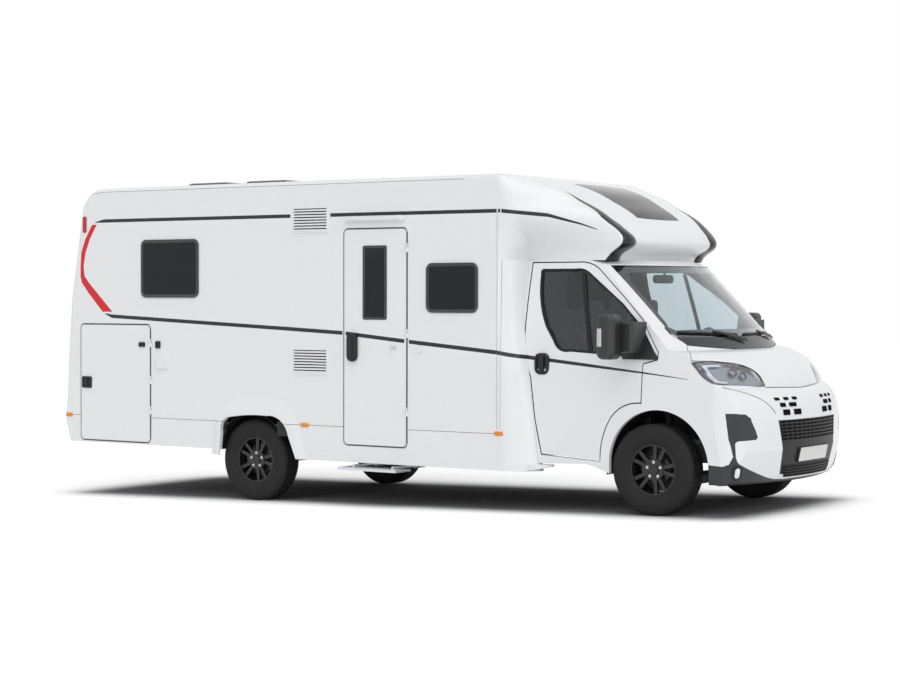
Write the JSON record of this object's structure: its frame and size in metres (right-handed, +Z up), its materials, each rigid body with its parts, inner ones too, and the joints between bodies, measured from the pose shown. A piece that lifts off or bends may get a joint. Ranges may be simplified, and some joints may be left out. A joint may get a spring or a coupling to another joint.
{
  "type": "motorhome",
  "caption": "Low-profile motorhome on a front-wheel-drive van cab, with hinged doors and bonnet, sliding entry step, steered front wheels and hollow living box.",
  "frame": {"origin": "on the ground under the middle of the vehicle's length and width", "axes": "+X forward, +Y to the vehicle's left, +Z up"},
  "size_m": [7.4075, 2.74, 2.9541],
  "materials": {
    "body_paint": "gloss white",
    "cab_paint": "gloss white",
    "dark_plastic": "fine grained dark grey",
    "red_lens": "ribbed red lens",
    "smoked_plastic": "smoked acrylic",
    "tinted_glass": "dark tinted double pane acrylic",
    "lamp_glass": "clear lens",
    "clear_glass": "laminated, light blue tint",
    "grey_board": "sealed underfloor board",
    "dark_steel": "black chassis paint",
    "seat_fabric": "woven dark grey",
    "cast_metal": "rough cast",
    "galvanised_steel": "galvanised",
    "step_aluminium": "ribbed anodised",
    "tyre_rubber": "moulded sidewall",
    "black_alloy": "gloss black alloy"
  },
  "bodies": {
    "body": {"side_wall_right": "body_paint", "side_wall_left": "body_paint", "rear_wall": "body_paint", "roof": "body_paint", "skirts": "body_paint", "tail_lamps": "red_lens", "roof_vents": "smoked_plastic", "hood": "body_paint", "skylight": "tinted_glass", "corner_panels": "body_paint", "cab_shell": "cab_paint", "headlamps": "lamp_glass", "windscreen": "clear_glass", "front_bumper": "cab_paint", "front_grille": "dark_plastic", "floor": "grey_board", "dashboard": "dark_plastic", "cab_seats": "seat_fabric", "engine": "cast_metal", "chassis_frame": "galvanised_steel", "house_windows": "tinted_glass", "front_axle": "dark_steel", "rear_axle": "dark_steel"},
    "bonnet": {"bonnet": "cab_paint"},
    "cab_door_right": {"cab_door_right": "cab_paint", "cab_window_right": "clear_glass", "mirror_right": "dark_plastic"},
    "cab_door_left": {"cab_door_left": "cab_paint", "cab_window_left": "clear_glass", "mirror_left": "dark_plastic"},
    "entrance_door": {"entrance_door": "body_paint", "entrance_window": "tinted_glass"},
    "garage_door_right": {"garage_door_right": "body_paint"},
    "garage_door_left": {"garage_door_left": "body_paint"},
    "entry_step": {"entry_step": "step_aluminium"},
    "steer_right": {"knuckle_right": "cast_metal"},
    "steer_left": {"knuckle_left": "cast_metal"},
    "wheel_front_right": {"tyre_front_right": "tyre_rubber", "rim_front_right": "black_alloy"},
    "wheel_front_left": {"tyre_front_left": "tyre_rubber", "rim_front_left": "black_alloy"},
    "wheel_rear_right": {"tyre_rear_right": "tyre_rubber", "rim_rear_right": "black_alloy"},
    "wheel_rear_left": {"tyre_rear_left": "tyre_rubber", "rim_rear_left": "black_alloy"}
  },
  "joints": [
    {"name": "bonnet_hinge", "type": "hinge", "parent": "body", "child": "bonnet", "pos_m": [2.97314, 0, 1.39747], "axis": [0, -1, 0], "range_deg": [0, 50]},
    {"name": "cab_door_right_hinge", "type": "hinge", "parent": "body", "child": "cab_door_right", "pos_m": [2.83593, -1.03, 1.10071], "axis": [0.0242, 0, 0.9997], "range_deg": [0, 65]},
    {"name": "cab_door_left_hinge", "type": "hinge", "parent": "body", "child": "cab_door_left", "pos_m": [2.83593, 1.03, 1.10071], "axis": [-0.0242, 0, -0.9997], "range_deg": [0, 65]},
    {"name": "entrance_door_hinge", "type": "hinge", "parent": "body", "child": "entrance_door", "pos_m": [0.49987, -1.177, 1.45732], "axis": [0.0242, 0, 0.9997], "range_deg": [0, 165]},
    {"name": "garage_door_right_hinge", "type": "hinge", "parent": "body", "child": "garage_door_right", "pos_m": [-2.45164, -1.177, 1.05859], "axis": [0.0242, 0, 0.9997], "range_deg": [0, 155]},
    {"name": "garage_door_left_hinge", "type": "hinge", "parent": "body", "child": "garage_door_left", "pos_m": [-2.45164, 1.177, 1.05859], "axis": [-0.0242, 0, -0.9997], "range_deg": [0, 155]},
    {"name": "entry_step_slide", "type": "slide", "parent": "body", "child": "entry_step", "axis": [0, 1, 0], "range_m": [0, 0.2]},
    {"name": "steer_left_kingpin", "type": "hinge", "parent": "body", "child": "steer_left", "pos_m": [2.757, 0.85, 0.255], "axis": [0, -0.2907, 0.9568], "range_deg": [-32, 32]},
    {"name": "steer_right_kingpin", "type": "hinge", "parent": "body", "child": "steer_right", "pos_m": [2.757, -0.85, 0.255], "axis": [0, 0.2907, 0.9568], "range_deg": [-32, 32]},
    {"name": "wheel_front_right_spin", "type": "hinge", "parent": "steer_right", "child": "wheel_front_right", "pos_m": [2.757, -0.905, 0.368], "axis": [0, 1, 0], "continuous": true},
    {"name": "wheel_front_left_spin", "type": "hinge", "parent": "steer_left", "child": "wheel_front_left", "pos_m": [2.757, 0.905, 0.368], "axis": [0, 1, 0], "continuous": true},
    {"name": "wheel_rear_right_spin", "type": "hinge", "parent": "body", "child": "wheel_rear_right", "pos_m": [-1.278, -0.99, 0.368], "axis": [0, 1, 0], "continuous": true},
    {"name": "wheel_rear_left_spin", "type": "hinge", "parent": "body", "child": "wheel_rear_left", "pos_m": [-1.278, 0.99, 0.368], "axis": [0, 1, 0], "continuous": true}
  ],
  "couplings": [
    {"joint": "steer_right_kingpin", "follows": "steer_left_kingpin", "ratio": 1}
  ]
}
